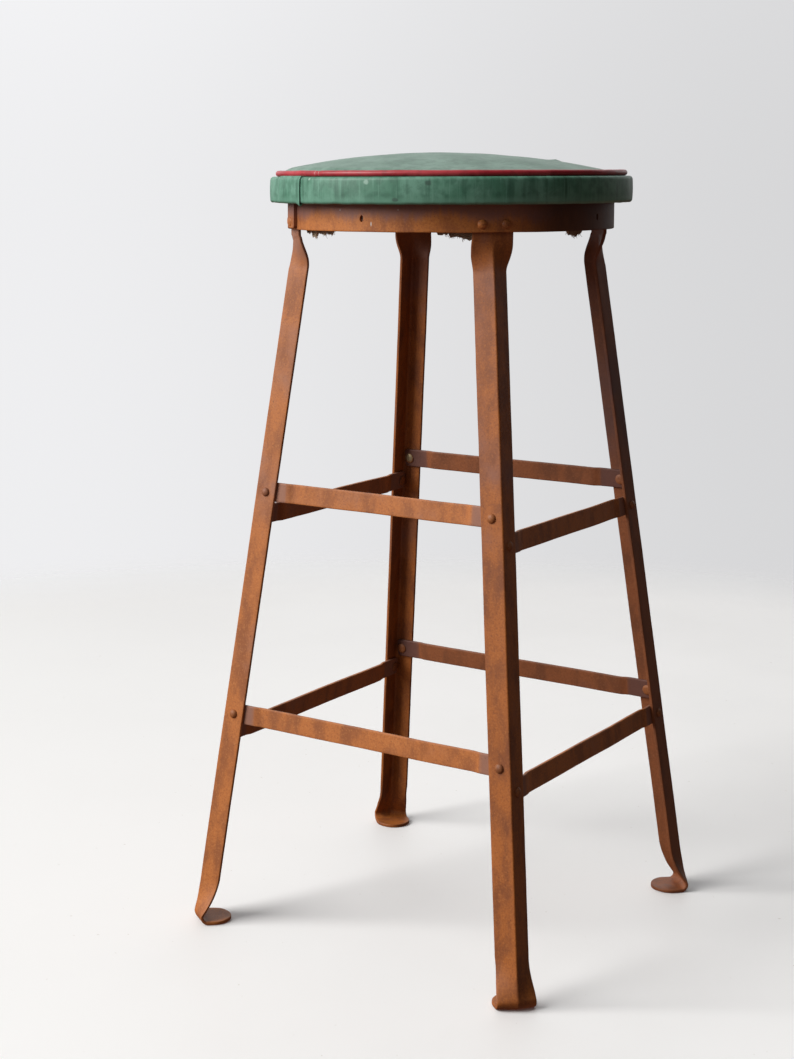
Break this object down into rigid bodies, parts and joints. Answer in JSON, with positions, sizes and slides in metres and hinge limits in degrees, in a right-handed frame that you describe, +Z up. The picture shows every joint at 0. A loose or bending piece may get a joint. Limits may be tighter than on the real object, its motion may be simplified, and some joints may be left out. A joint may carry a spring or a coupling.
{
  "type": "shop stool",
  "caption": "Tall round stool: padded, piped vinyl seat on a strip-steel ring, splayed angle-steel legs with turned feet, flat riveted braces",
  "frame": {"origin": "on the floor, under the middle of the seat", "axes": "+Z up; front is -Y; the legs stand on the diagonals and the braces run along X and Y"},
  "size_m": [0.3888, 0.3888, 0.7682],
  "materials": {
    "frame_steel": "worn rust-brown patina",
    "rivet_steel": "dull, darkened",
    "screw_steel": "dull",
    "plywood": "raw",
    "padding": "felted",
    "vinyl_green": "worn satin vinyl",
    "vinyl_red": "satin vinyl",
    "lining_cloth": "coarse"
  },
  "bodies": {
    "root": {"leg_front_right": "frame_steel", "leg_back_right": "frame_steel", "leg_back_left": "frame_steel", "leg_front_left": "frame_steel", "upper_brace_right": "frame_steel", "upper_brace_back": "frame_steel", "upper_brace_left": "frame_steel", "upper_brace_front": "frame_steel", "lower_brace_right": "frame_steel", "lower_brace_back": "frame_steel", "lower_brace_left": "frame_steel", "lower_brace_front": "frame_steel", "seat_ring": "frame_steel", "locating_disc": "plywood", "seat_board": "plywood", "under_lining": "lining_cloth", "seat_padding": "padding", "seat_cover_top": "vinyl_green", "seat_piping": "vinyl_red", "seat_band": "vinyl_green", "ring_rivets": "rivet_steel", "upper_brace_rivets": "rivet_steel", "lower_brace_rivets": "rivet_steel", "ring_screws": "screw_steel", "board_screws": "screw_steel", "cover_tacks": "screw_steel", "lining_tacks": "screw_steel"}
  },
  "joints": []
}
